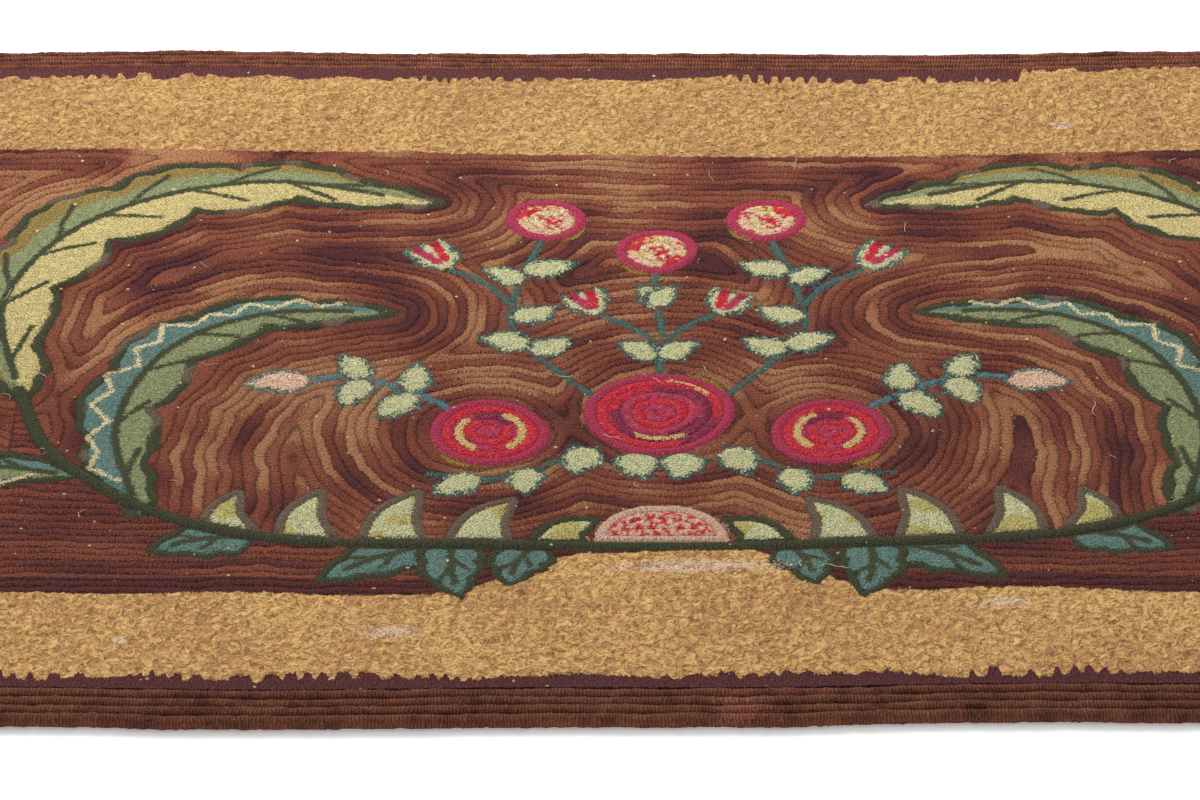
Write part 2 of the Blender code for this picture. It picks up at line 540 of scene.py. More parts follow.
for leaf in HANGING:
    for mirror in (-1, 1):
        work_hanging(*leaf, mirror)
for leaf in STANDING:
    for mirror in (-1, 1):
        work_standing(*leaf, mirror)
half_flower = {"x": 0.0, "y": -0.190, "radius": 0.0340}
middle = np.array(((-0.004, half_flower["y"]), (0.004, half_flower["y"])))
window, t, distance, side = beside(middle, 0.050)
mottle = wander(X[window], Y[window], 0.0026, 31)[..., None]
work_shape(
    window,
    np.minimum(half_flower["radius"] - distance, Y[window] - half_flower["y"] + 0.002),
    PINK_CREAM, 0.0064, np.where(mottle > 0.1, RED, PINK_CREAM), lift=0.0006, rows=0.0066,
)
work_line(garland, 0.0088, DARK_GREEN, lift=0.0012)


# ------ gold bands
# A band of unclipped gold loops runs along all four sides. Its edges are drawn by eye,
# and along the near side it swells up to the middle of the garland.

FIELD_NEAR, FIELD_FAR, FIELD_END = -0.2405, 0.2290, 0.632
GOLD_NEAR, GOLD_FAR, GOLD_END = -0.3155, 0.3210, 0.7010


def field_near(x):
    swell_up = 0.042 * np.exp(-((np.abs(x) / 0.088) ** 4))
    return FIELD_NEAR + swell_up + 0.0022 * wander(x, 0 * x, 0.09, 41)


def field_far(x):
    return FIELD_FAR - 0.003 * np.cos(x * 7) + 0.0018 * wander(x, 0 * x, 0.07, 42)


def teeth(along, seed):
    """The uneven notches of the purple row: short blocks of loops, a few rows deep."""
    pace = along / 0.0105 + 1.6 * wander(along, 0 * along, 0.05, seed)
    wide = 0.8 * wander(along, 0 * along, 0.024, seed + 2)
    block = np.clip(4.0 * (np.sin(2 * math.pi * pace) + wide), -1, 1)
    deep = np.clip(0.0024 + 0.0016 * wander(along, 0 * along, 0.06, seed + 3), 0, 1)
    return deep * block + 0.0014 * wander(along, 0 * along, 0.018, seed + 1)


in_field = np.minimum(
    np.minimum(Y - field_near(X), field_far(X) - Y),
    FIELD_END + 0.002 * wander(Y, 0 * Y, 0.08, 43) - np.abs(X),
)
narrow = 0.012 * (np.clip((X - 0.236) / 0.004, 0, 1) - np.clip((X - 0.70) / 0.004, 0, 1))
in_teeth = np.minimum(
    np.minimum(Y - GOLD_NEAR - teeth(X, 44), GOLD_FAR + narrow + teeth(X, 46) - Y),
    GOLD_END + teeth(Y, 48) - np.abs(X),
)
gold = np.minimum(-in_field, in_teeth)


# ------ brown ground
# The ground is hooked last, in rows of old brown, rust and purple-brown wool. Rows echo
# the feather leaves, lie straight along the far band, and run level under the garland.


def nearest_of(seeds):
    """The distance from every point of the lattice to the nearest of many seed points.
    Each point takes its neighbours' nearest seed if it is nearer, far neighbours first."""
    own = np.full(X.shape, -1)
    column = np.clip(np.rint((seeds[:, 0] - LINE_X[0]) / STEP).astype(int), 0, X.shape[1] - 1)
    line = np.clip(np.rint((seeds[:, 1] - LINE_Y[0]) / STEP).astype(int), 0, X.shape[0] - 1)
    own[line, column] = np.arange(len(seeds))
    best = np.full(X.shape, 9.0)
    known = own >= 0
    best[known] = np.hypot(*(seeds[own[known]] - np.stack([X[known], Y[known]], 1)).T)
    jump = 512
    while jump:
        for dy in (-jump, 0, jump):
            for dx in (-jump, 0, jump):
                to = (slice(max(dy, 0), X.shape[0] + min(dy, 0)),
                      slice(max(dx, 0), X.shape[1] + min(dx, 0)))
                came = (slice(max(-dy, 0), X.shape[0] + min(-dy, 0)),
                        slice(max(-dx, 0), X.shape[1] + min(-dx, 0)))
                if to[0].start >= to[0].stop or to[1].start >= to[1].stop:
                    continue
                offered = own[came]
                place = seeds[offered]
                away = np.hypot(place[..., 0] - X[to], place[..., 1] - Y[to])
                nearer = (offered >= 0) & (away < best[to])
                best[to] = np.where(nearer, away, best[to])
                own[to] = np.where(nearer, offered, own[to])
        jump //= 2
    return best


s = np.arange(-0.74, 0.74, 0.0008)
ground_seeds.append(np.stack([s, field_far(s)], 1))
outside = s[np.abs(s) > 0.60]
ground_seeds.append(np.stack([outside, field_near(outside)], 1))
for rose in ROSES[:2]:
    for mirror in both_sides(rose["x"]):
        whole_turn = np.linspace(0, 2 * math.pi, 180)
        ground_seeds.append(arc(mirror * rose["x"], rose["y"], rose["radius"], whole_turn))
echo = softened(nearest_of(np.vstack(ground_seeds)), 14)
level = Y - FIELD_NEAR - 0.4 * (field_near(X) - FIELD_NEAR)
below = (Y < np.where(np.abs(X) < 0.376, garland_height(X), -0.130)) & (np.abs(X) < 0.60)
rows = np.where(below, level, echo) / ROW
rows = rows + 0.55 * wander(X, Y, 0.11, 50) + 0.14 * wander(X, Y, 0.030, 51)
rows = rows + 0.08 * wander(X, Y, 0.008, 52) + 0.07 * wander(X, Y, 0.015, 53)
rows_y, rows_x = np.gradient(rows)
steep = np.hypot(rows_x, rows_y) + 1e-9
rows_x, rows_y = rows_x / steep, rows_y / steep


# ------ the hooked face
# All that was drawn, as the pile itself. It was hooked on a frame in five strips, each
# rolled on when it was full; here each strip is its own closed piece.

random = np.random.default_rng(60)
STRIPS = 5
STRIP_FOLDS = 3
# How far a strip's turned-down rim is let out, laid flat, as shares of its two sizes.
RIM_SPREAD = (0.003, 0.03)
CLOTH_TOP = 0.0017


def groove(phase):
    """From 0 on a row's crest to 1 in the groove beside it."""
    return np.abs(2 * (phase - np.floor(phase)) - 1)


def share(depth, soft=0.0008):
    """From 0 well outside a shape to 1 well inside it, with a soft step at its edge."""
    return np.clip(depth / (2 * soft) + 0.5, 0, 1)


in_shape = share(outlines.depth)
in_gold = share(gold) * (1 - in_shape)
in_ground = share(in_field) * (1 - in_shape)
curls = softened(random.standard_normal(X.shape), 1)
clumps = 3.4 * softened(random.standard_normal(X.shape), 5)
fine = softened(random.standard_normal(X.shape), 1)
heights = crest(X, Y) - 0.0004
heights -= in_ground * 0.0011 * groove(rows) ** 3
heights -= in_shape * 0.0010 * groove(ridges) ** 2
heights += in_shape * lifts
heights += in_gold * (0.0008 * curls + 0.0006 * clumps - 0.0002)
heights += 0.00016 * fine
heights -= 0.0007 * share(in_teeth * -1)
place_x, place_y = as_it_lies(X, Y)
slope_y, slope_x = np.gradient(heights, STEP)
normals = np.stack([-slope_x, -slope_y, np.ones(X.shape)], -1)
normals /= np.linalg.norm(normals, axis=-1, keepdims=True)

# Rubbed patches: their middles, lengths and widths.
WORN = (
    (0.020, -0.216, 0.120, 0.018),
    (-0.150, -0.275, 0.040, 0.014),
    (-0.300, -0.285, 0.012, 0.010),
    (0.190, -0.252, 0.036, 0.012),
    (0.260, 0.262, 0.020, 0.010),
    (-0.420, 0.020, 0.026, 0.014),
)
worn = np.zeros(X.shape)
for at_x, at_y, length, width in WORN:
    off = np.hypot((X - at_x) / length * 2, (Y - at_y) / width * 2)
    worn = np.maximum(worn, np.clip(1.3 - off, 0, 1))

attributes = {
    "worn": worn, "rows": rows, "field": in_field * 1000, "teeth": in_teeth * 1000,
    "outline": outlines.depth * 1000, "fill": fills.depth * 1000, "mark": marks.depth * 1000,
    "ridges": ridges, "below": below.astype(float), "loose": loose,
}
vectors = {
    "rows_across": np.stack([rows_x, rows_y, 0 * X], -1),
    "ridges_across": np.stack([across_x, across_y, 0 * X], -1),
    "outline_yarn": outlines.yarn, "fill_yarn": fills.yarn, "mark_yarn": marks.yarn,
}


def numbers_of(items, name, width=1, kind=float):
    """One value of all a mesh's points, corners or faces, in a row each if it is wide."""
    found = np.empty(len(items) * width, kind)
    items.foreach_get(name, found)
    return found.reshape(-1, width) if width > 1 else found


def new_grid(name, columns, lines):
    """A flat grid of that many points each way, and each of its points' column and line."""
    bpy.ops.object.select_all(action="DESELECT")
    bpy.ops.mesh.primitive_grid_add(
        x_subdivisions=columns - 1, y_subdivisions=lines - 1, size=2
    )
    grid = bpy.context.object
    grid.name = grid.data.name = name
    flat = numbers_of(grid.data.vertices, "co", 3)
    column = np.rint((flat[:, 0] + 1) / 2 * (columns - 1)).astype(int)
    line = np.rint((flat[:, 1] + 1) / 2 * (lines - 1)).astype(int)
    return grid, column, line


def close_under(piece, height):
    """Turns a strip's rim straight down to this height and closes the strip there."""
    bpy.ops.object.mode_set(mode="EDIT")
    bpy.ops.mesh.select_mode(type="VERT")
    bpy.ops.mesh.select_all(action="SELECT")
    bpy.ops.mesh.region_to_loop()
    bpy.ops.mesh.extrude_edges_move()
    bpy.ops.object.mode_set(mode="OBJECT")
    for vertex in piece.data.vertices:
        if vertex.select:
            vertex.co.z = height
    bpy.ops.object.mode_set(mode="EDIT")
    bpy.ops.mesh.edge_face_add()
    bpy.ops.mesh.select_all(action="SELECT")
    bpy.ops.mesh.normals_make_consistent(inside=False)
    bpy.ops.object.mode_set(mode="OBJECT")


def lay_out(piece, along, across, folds):
    """Lays a long piece's surface out flat in rows, one above another, so that its finish
    can be kept sharp. A closing face that spans the piece goes in a narrow row below."""
    mesh = piece.data
    corners = numbers_of(mesh.polygons, "loop_total", kind=int)
    face = np.repeat(np.arange(len(corners)), corners)
    share = (along - along.min()) / np.ptp(along)
    rise = (across - across.min()) / np.ptp(across)
    fold = np.minimum(np.bincount(face, share) / corners * folds, folds - 1).astype(int)[face]
    u = 0.01 + 0.98 * (share * folds - fold)
    v = 0.08 + 0.92 * (fold + 0.02 + 0.96 * rise) / folds
    closing = (corners > 4)[face]
    u = np.where(closing, share, u)
    v = np.where(closing, 0.01 + 0.05 * rise, v)
    layer = mesh.uv_layers.new(name="OFBake")
    layer.uv.foreach_set("vector", np.stack([u, v], 1).astype(np.float32).ravel())


def write_attributes(piece, places):
    mesh = piece.data
    for name, values in attributes.items():
        made = mesh.attributes.new(name, "FLOAT", "POINT")
        made.data.foreach_set("value", values[places].astype(np.float32).ravel())
    for name, values in vectors.items():
        made = mesh.attributes.new(name, "FLOAT_VECTOR", "POINT")
        made.data.foreach_set("vector", values[places].astype(np.float32).ravel())


def hooked_strip(number):
    cuts = np.linspace(0, len(LINE_Y) - 1, STRIPS + 1).round().astype(int)
    first, last = cuts[number], cuts[number + 1]
    strip, column, line = new_grid(f"hooked_strip_{number + 1}", len(LINE_X), last - first + 1)
    places = (line + first, column)
    co = np.stack([place_x[places], place_y[places], heights[places]], 1)
    strip.data.vertices.foreach_set("co", co.ravel())
    write_attributes(strip, places)
    strip.data.update()
    close_under(strip, CLOTH_TOP)
    strip.data.shade_smooth()
    flat = numbers_of(strip.data.vertices, "co", 3)[:, :2]
    middle = (flat.min(0) + flat.max(0)) / 2
    flat[len(line):] += (flat[len(line):] - middle) * RIM_SPREAD
    lay_out(strip, *flat[numbers_of(strip.data.loops, "vertex_index", kind=int)].T, STRIP_FOLDS)
    facing = np.tile((0.0, 0.0, -1.0), (len(strip.data.vertices), 1))
    facing[:len(line)] = normals[places]
    strip.data.normals_split_custom_set_from_vertices(facing.tolist())
    return strip


strips = [hooked_strip(n) for n in range(STRIPS)]


class Value:
    """A node's output. Sums on it add Math nodes to its material; node() adds any other."""

    def __init__(self, socket):
        self.socket = socket

    def node(self, kind, settings, inputs, output=0):
        added = self.socket.id_data.nodes.new("ShaderNode" + kind)
        for name, value in settings.items():
            if name == "stops":
                ramp = added.color_ramp
                ramp.elements[0].position, ramp.elements[-1].position = value[0][0], value[-1][0]
                for place, colour in value[1:-1]:
                    ramp.elements.new(place)
                for element, (place, colour) in zip(ramp.elements, value):
                    element.color = (*colour, 1)
            else:
                setattr(added, name, value)
        for name, value in inputs.items():
            if isinstance(value, Value):
                self.socket.id_data.links.new(value.socket, added.inputs[name])
            else:
                added.inputs[name].default_value = value
        return Value(added.outputs[output])

    def maths(self, operation, *values, clamp=False):
        settings = {"operation": operation, "use_clamp": clamp}
        return self.node("Math", settings, dict(enumerate(values)))

    __add__ = __radd__ = lambda self, other: self.maths("ADD", self, other)
    __mul__ = __rmul__ = lambda self, other: self.maths("MULTIPLY", self, other)
    __sub__ = lambda self, other: self.maths("SUBTRACT", self, other)
    __rsub__ = lambda self, other: self.maths("SUBTRACT", other, self)
    __pow__ = lambda self, other: self.maths("POWER", self, other)
    __abs__ = lambda self: self.maths("ABSOLUTE", self)

    def clamped(self):
        return self.maths("ADD", self, 0, clamp=True)

    def stretched(self, by):
        """The same value with by times the contrast about 0.5, kept from 0 to 1."""
        return ((self - 0.5) * by + 0.5).clamped()


def new_finish(name):
    """A plain dull wool material. Gives it, its surface node, and a point's place in mm."""
    material = bpy.data.materials.new(name)
    material.use_nodes = True
    surface = material.node_tree.nodes["Principled BSDF"]
    surface.inputs["Roughness"].default_value = 1.0
    surface.inputs["Specular IOR Level"].default_value = 0.08
    surface.inputs["Sheen Weight"].default_value = 0.02
    coordinates = Value(material.node_tree.nodes.new("ShaderNodeTexCoord").outputs["Object"])
    place = coordinates.node(
        "VectorMath", {"operation": "SCALE"}, {0: coordinates, "Scale": 1000.0}
    )
    return material, surface, place


def finish_with(surface, colour, height):
    """Joins the worked-out colour and height, in mm, to a material's surface."""
    relief = height.node("Bump", {}, {"Height": height, "Distance": 0.001, "Strength": 1.0})
    links = surface.id_data.links
    links.new(colour.socket, surface.inputs["Base Color"])
    links.new(relief.socket, surface.inputs["Normal"])


def attribute(place, name, output=2):
    return place.node("Attribute", {"attribute_name": name}, {}, output)


def noise(place, scale, detail=2.0, output=0, across="2D"):
    """Even noise about 0.5. A scale of 1 has swells about 1 mm apart."""
    inputs = {"Vector": place, "Scale": scale, "Detail": detail, "Roughness": 0.55}
    return place.node("TexNoise", {"noise_dimensions": across}, inputs, output)


def cells(place, scale):
    """Cells with a place each, scale of them to the mm: how far a point is from its own
    cell's middle, and a value from 0 to 1 that is the same all over the cell."""
    inputs = {"Vector": place, "Scale": scale}
    off = place.node("TexVoronoi", {"voronoi_dimensions": "2D", "feature": "F1"}, inputs)
    tint = Value(off.socket.node.outputs["Color"])
    return off, place.node("SeparateColor", {}, {0: tint})


def moved(place, way, distance):
    """A place moved along a direction by some millimetres."""
    inputs = {0: way, 1: (distance,) * 3, 2: place}
    return place.node("VectorMath", {"operation": "MULTIPLY_ADD"}, inputs)


def blended(share, under, over):
    inputs = {0: share, 6: under, 7: over}
    return share.node("Mix", {"data_type": "RGBA"}, inputs, 2)


def shaded(colour, by):
    inputs = {0: 1.0, 6: colour, 7: by}
    return by.node("Mix", {"data_type": "RGBA", "blend_type": "MULTIPLY"}, inputs, 2)


def far_side(place):
    """From 0 near the rug's near side to 1 by its far side, where colours are made lighter."""
    parts = place.node("SeparateXYZ", {}, {0: place})
    return ((Value(parts.socket.node.outputs[1]) + 60) * 0.0026).clamped()


def strands(place, way):
    """The loops of a row, seen as fine ribs that lie along a direction, from 0 to 1."""
    taps = [noise(moved(place, way, off), 0.95, 1.0) for off in (-1.3, -0.65, 0, 0.65, 1.3)]
    total = taps[0]
    for tap in taps[1:]:
        total = total + tap
    return (total * 0.2).stretched(4.2)


GROUND_YARNS = (
    (0.00, dyed(82, 46, 48)), (0.18, dyed(100, 56, 50)), (0.38, dyed(124, 70, 55)),
    (0.62, dyed(136, 81, 62)), (0.67, dyed(154, 104, 74)), (1.00, dyed(164, 116, 84)),
)
# The gold's colours, from shaded hollows to lit tops: partly the yarn's own tones, partly painted
# light and shade.
GOLD_TONES_LIT_AND_SHADED = (
    (0.20, dyed(178, 132, 90)), (0.50, dyed(196, 150, 94)), (0.80, dyed(214, 174, 112)),
)
# Painted shade in the creases between gold loops.
GOLD_CREASE_SHADE = dyed(142, 92, 50)
PURPLE = dyed(98, 58, 58)
WORN_PINK = dyed(214, 186, 164)


def worked_yarn(place):
    """The colour of the yarn at each point of the rug, with painted shade and light, and its fine
    relief in mm.
    """
    fuzz = noise(place, 0.85, 2.0).stretched(3.2)
    mid = noise(place, 0.16, 2.0)
    slow = noise(place, 0.014, 1.0)
    # Each cell is one loop, and loop is highest at its middle. Where it scales a colour it is
    # painted shade in the gaps between loops and painted light on their tops.
    off_loop, chance = cells(place, 0.70)
    loop = (1.15 - off_loop * 1.7).clamped()
    ragged = (fuzz - 0.5) * 1.2 + (mid - 0.5) * 1.6 + (chance - 0.5) * 1.0
    tuft = cells(place, 0.34)[1]
    loose = attribute(place, "loose")
    ragged = ragged + (tuft - 0.5) * loose * 1.6
    loosely = 0.95 + loose * 1.4

    def inside(name, rough, soft=0.3):
        depth = attribute(place, name)
        return ((depth + ragged * rough) * (0.5 / soft) + 0.5).clamped()

    shape, filled = inside("outline", loosely), inside("fill", loosely)
    marked = inside("mark", 1.3)
    field, gilt = inside("field", 0.8), inside("teeth", 1.0)

    way = place.node(
        "Mix", {"data_type": "VECTOR"},
        {0: shape, 4: attribute(place, "rows_across", 1), 5: attribute(place, "ridges_across", 1)},
        1,
    )
    strand = strands(place, way)
    furrow = attribute(place, "ridges") + ragged * 0.06
    furrow = abs(furrow.maths("FRACT", furrow) * 2 - 1)

    rows = attribute(place, "rows") + ragged * 0.13
    number = rows.maths("FLOOR", rows)
    valley = abs(rows.maths("FRACT", rows) * 2 - 1)
    parts = place.node("SeparateXYZ", {}, {0: place})
    y = Value(parts.socket.node.outputs[1])
    lot = place.node("CombineXYZ", {}, {0: parts * 0.0085, 1: y * 0.0085, 2: number * 0.62})
    run = noise(lot, 1.0, 1.0, across="3D")
    below = attribute(place, "below")
    tone = (run - 0.5) * (2.1 - 1.2 * below) + (slow - 0.5) * (1.0 - 0.6 * below)
    tone = tone + (fuzz - 0.5) * 0.10 + 0.45 - below * 0.15
    rimmed = ((15.0 - attribute(place, "field")) * 0.6).clamped() * below
    tone = tone * (1 - rimmed) + 0.06 * rimmed
    ground = tone.node("ValToRGB", {"stops": GROUND_YARNS}, {0: tone})
    # Painted shade: the ground is darkened in the grooves between its rows, more deeply in some
    # places, and lightened a little on the crests.
    groove_shade_depth = ((mid - 0.45) * 4).clamped()
    ground = shaded(ground, 1.08 - (0.56 + 0.22 * groove_shade_depth + 0.08 * below) * valley**6)

    swirl = noise(place, 0.13, 1.0, output=1)
    curled = moved(place, swirl, 11.0)
    curl = noise(curled, 0.26, 2.0)
    broken = ((noise(place, 0.34, 1.0) - 0.44) * 7).clamped()
    crease = (1 - abs(curl - 0.5) * 17).clamped() * broken
    lump = noise(curled, 0.30, 1.0)
    # Painted light and shade: the gold is lighter where its tufts stand high and darker in the
    # hollows, over its own slow changes of tone.
    gold_tone_and_tuft_light = (slow - 0.5) * 0.6 + (mid - 0.5) * 1.1 + (lump - 0.5) * 1.9 + 0.5
    gold_yarn = gold_tone_and_tuft_light.node("ValToRGB", {"stops": GOLD_TONES_LIT_AND_SHADED}, {0: gold_tone_and_tuft_light})
    # Painted shade: thin dark creases between the gold loops, where the bump also dips.
    gold_yarn = blended(crease * 0.75, gold_yarn, (*GOLD_CREASE_SHADE, 1))
    # Painted shade and light: the purple is darker between its loops and lighter on their tops.
    purple_yarn = shaded((*PURPLE, 1), 0.72 + 0.42 * loop)

    colour = blended(field, gold_yarn, ground)
    colour = blended(gilt, purple_yarn, colour)
    # Painted shade: outlines and fills are darkened in the furrows between their rows, and fills
    # also between their loops; the lumps in the fills are the yarn's own tone.
    worked = shaded(attribute(place, "outline_yarn", 0), 1.04 - 0.45 * furrow**8)
    lumps_and_painted_shade = (0.30 + 0.5 * loop + 0.72 * lump) * (1.05 - 0.50 * furrow**7)
    pile = shaded(attribute(place, "fill_yarn", 0), lumps_and_painted_shade)
    pale_loop = ((chance - 0.80) * 9).clamped() * (0.06 + loose * 0.22)
    pile = blended(pale_loop, pile, (*CREAM, 1))
    # Painted shade and light: the marks are darker between their loops and lighter on their tops.
    streak = shaded(attribute(place, "mark_yarn", 0), 0.7 + 0.4 * loop)
    colour = blended(shape, colour, worked)
    colour = blended(filled, colour, pile)
    colour = blended(marked, colour, streak)
    rubbed = attribute(place, "worn")
    worn = ((rubbed * 1.5 + ragged * 0.9 - 0.9) * 3.5).clamped() * (rubbed * 4).clamped()
    colour = blended(worn * 0.75, colour, (*WORN_PINK, 1))
    off_fleck, fleck_size = cells(place, 0.050)
    fleck = (((fleck_size - 0.62) * 0.16 - off_fleck + ragged * 0.012) * 60).clamped()
    colour = blended(fleck * 0.9, colour, (*CREAM, 1))

    # Partly the fibres' own speckle, partly painted shade: dark specks between loops and dark lines
    # between the ribs of each row, less on the gold; then all is made lighter towards the far side.
    golden = (1 - field) * gilt * (1 - shape)
    ribbed = (1 - golden) * (1 - filled)
    speckled = 0.46 - 0.20 * golden
    fine = 1.04 - speckled * (1 - fuzz) - ribbed * (0.60 - 0.60 * strand) + (1 - golden) * 0.40
    fine = fine * (1 + (0.38 - 0.34 * golden) * far_side(place))
    colour = shaded(colour, fine)

    height = golden * (lump * 1.9 - crease * 0.5 - 0.4)
    height = height + field * (1 - shape) * (1 - valley**6) * 0.8
    height = height + shape * (1 - furrow**6) * 0.4
    height = height + ribbed * strand * 0.70 + filled * loop * 0.9 + fuzz * (0.55 - 0.35 * golden)
    return colour, height


hooked_wool, surface, place = new_finish("hooked_wool")
finish_with(surface, *worked_yarn(place))
for strip in strips:
    strip.data.materials.append(hooked_wool)
    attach(strip, "root")


# ------ edge cords
# Four thick rows of brown wool, worked over cord, run round the rug one inside the
# other. The stitches show as fine ribs across them; the outermost one is the rug's side.

CORDS = 4
CORD_FOLDS = 11
RIB_PITCH = 1.9
CORD_RINGS, CORD_SIDES = 1760, 10
CORD_BROWN, CORD_RUST, CORD_DARK = dyed(108, 66, 52), dyed(126, 78, 60), dyed(82, 50, 44)


def oblong(half_x, low_y, high_y, radius, count):
    """Points round an oblong with round corners, against the clock from its near left."""
    quarter = np.linspace(0, math.pi / 2, 16, endpoint=False)
    corners = (
        (half_x - radius, low_y + radius, -math.pi / 2), (half_x - radius, high_y - radius, 0),
        (radius - half_x, high_y - radius, math.pi / 2), (radius - half_x, low_y + radius, math.pi),
    )
    long_side, short_side = round(count * 0.337) - 16, round(count * 0.163) - 16
    around = []
    for (x, y, start), (nx, ny, after), side in zip(
        corners, corners[1:] + corners[:1], (short_side, long_side) * 2
    ):
        around.append(arc(x, y, radius, start + quarter))
        a, b = (arc(*corner, radius, np.array([after])) for corner in ((x, y), (nx, ny)))
        around.append(a + (b - a) * (np.arange(side) / side)[:, None])
    return np.vstack(around)


outer_edge = oblong(LENGTH / 2, -WIDTH / 2, WIDTH / 2, CORNER, CORD_RINGS)
inner_edge = oblong(LINE_X[-1], LINE_Y[0], LINE_Y[-1], 0.003, CORD_RINGS)
CORD_RINGS = len(outer_edge)


def edge_cord(number):
    """One closed cord: number 0 is the outermost."""
    across = inner_edge - outer_edge
    middle = outer_edge + across * (number + 0.5) / CORDS
    span = np.hypot(*across.T)
    across = across / span[:, None]
    x, y = as_it_lies(*middle.T)
    run = np.cumsum(np.hypot(np.diff(x, prepend=x[-1]), np.diff(y, prepend=y[-1])))
    apart = 9.0 * number + 0 * run
    sunken = 0.18 * np.clip(y / 0.2, 0, 1)
    half = span / CORDS / 2 * (1.01 + sunken + 0.05 * wander(run, apart, 0.02, 71))
    sway = 0.0004 * wander(run, apart, 0.04, 70)
    top = crest(x, y) - 0.0004 + 0.0003 * wander(run, apart, 0.015, 72)
    low = 0.0004 if number == 0 else CLOTH_TOP
    uneven = np.random.default_rng(90 + number).normal(0, 0.00034, (CORD_RINGS, CORD_SIDES))

    cord, ring, side = new_grid(f"edge_cord_{number + 1}", CORD_RINGS + 1, CORD_SIDES + 1)
    k = ring % CORD_RINGS
    turn = side / CORD_SIDES * 2 * math.pi
    in_by = sway[k] + half[k] * np.cos(turn)
    rise = np.sign(np.sin(turn)) * np.abs(np.sin(turn)) ** 0.85
    in_by += uneven[k, side % CORD_SIDES]
    co = np.stack([
        x[k] + across[k, 0] * in_by, y[k] + across[k, 1] * in_by,
        (top[k] + low) / 2 + (top[k] - low) / 2 * rise,
    ], 1)
    cord.data.vertices.foreach_set("co", co.ravel())
    stitches = cord.data.uv_layers[0]
    stitches.name = "stitches"
    uv = numbers_of(stitches.uv, "vector", 2) * (run[-1], 1)
    stitches.uv.foreach_set("vector", uv.ravel())
    bpy.ops.object.mode_set(mode="EDIT")
    bpy.ops.mesh.select_all(action="SELECT")
    bpy.ops.mesh.remove_doubles(threshold=0.00002)
    bpy.ops.mesh.normals_make_consistent(inside=False)
    bpy.ops.object.mode_set(mode="OBJECT")
    lay_out(cord, *numbers_of(cord.data.uv_layers["stitches"].uv, "vector", 2).T, CORD_FOLDS)
    cord.data.shade_smooth()
    return cord


cord_wool, surface, place = new_finish("cord_wool")
worked = place.node("UVMap", {"uv_map": "stitches"}, {})
run = place.node("SeparateXYZ", {}, {0: worked}) * 1000
fuzz = noise(place, 0.9, 2.0, across="3D").stretched(2.8)
mid = noise(place, 0.10, 2.0, across="3D")
slow = noise(place, 0.03, 2.0, across="3D")
pace = run * (2 * math.pi / RIB_PITCH) + (mid - 0.5) * 16 + (fuzz - 0.5) * 1.6
rib = pace.maths("SINE", pace) * 0.5 + 0.5
lay = (slow - 0.5) * 1.0 + (mid - 0.5) * 1.3 + (fuzz - 0.5) * 0.3 + 0.5
brown = lay.node(
    "ValToRGB", {"stops": ((0.10, CORD_DARK), (0.45, CORD_BROWN), (0.95, CORD_RUST))}, {0: lay}
)
worn = ((noise(place, 0.011, 1.0, across="3D") + (fuzz - 0.5) * 0.06 - 0.67) * 14).clamped()
brown = blended(worn * 0.7, brown, (*dyed(150, 92, 78), 1))
# Painted shade in the gaps between the stitch ribs, and painted light that makes the far cords
# lighter.
brown = shaded(brown, (0.42 + 0.66 * rib**0.6 + 0.38 * fuzz) * (1 + 0.42 * far_side(place)))
finish_with(surface, brown, rib * 0.75 + fuzz * 0.5)

cords = [edge_cord(n) for n in range(CORDS)]
for cord in cords:
    cord.data.materials.append(cord_wool)
    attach(cord, "root")


# ------ foundation
# Under the pile is the coarse linen itself. Its hem is turned under all round, and
# inside the hem the backs of the hooked rows show, so the pattern is there in reverse.

HEM = 0.030
SPARSE = 4
TURN = CORNER * 1.5


def spread_lines(lines, edge_low, edge_high):
    """Every fourth drawn line, then a few more out to the turned edge on each side."""
    inner = lines[::SPARSE]
    before = np.linspace(edge_low, inner[0], 5)[:-1]
    after = np.linspace(inner[-1], edge_high, 6)[1:]
    last = len(lines) - 1
    places = [0] * 4 + list(range(0, last + 1, SPARSE)) + [last] * 5
    return np.concatenate([before, inner, after]), np.array(places)


cloth_x, column_of = spread_lines(LINE_X, -LENGTH / 2 + 0.0035, LENGTH / 2 - 0.0035)
cloth_y, line_of = spread_lines(LINE_Y, -WIDTH / 2 + 0.0035, WIDTH / 2 - 0.0035)
foundation, column, line = new_grid("foundation_cloth", len(cloth_x), len(cloth_y))
x, y = cloth_x[column], cloth_y[line]
corner_x = np.clip(1 - (LENGTH / 2 - np.abs(x)) / TURN, 0, 1)
corner_y = np.clip(1 - (WIDTH / 2 - np.abs(y)) / TURN, 0, 1)
x = x - np.sign(x) * TURN * (corner_x - corner_x * np.sqrt(1 - corner_y**2 / 2))
y = y - np.sign(y) * TURN * (corner_y - corner_y * np.sqrt(1 - corner_x**2 / 2))
lie_x, lie_y = as_it_lies(x, y)
hem = HEM - np.minimum(LENGTH / 2 - np.abs(x), WIDTH / 2 - np.abs(y))
co = np.stack([lie_x, lie_y, np.zeros(x.shape)], 1)
foundation.data.vertices.foreach_set("co", co.ravel())
attributes["hem"] = np.zeros(X.shape)
write_attributes(foundation, (line_of[line], column_of[column]))
foundation.data.attributes["hem"].data.foreach_set("value", (hem * 1000).astype(np.float32))
foundation.data.update()
close_under(foundation, CLOTH_TOP - 0.0003)

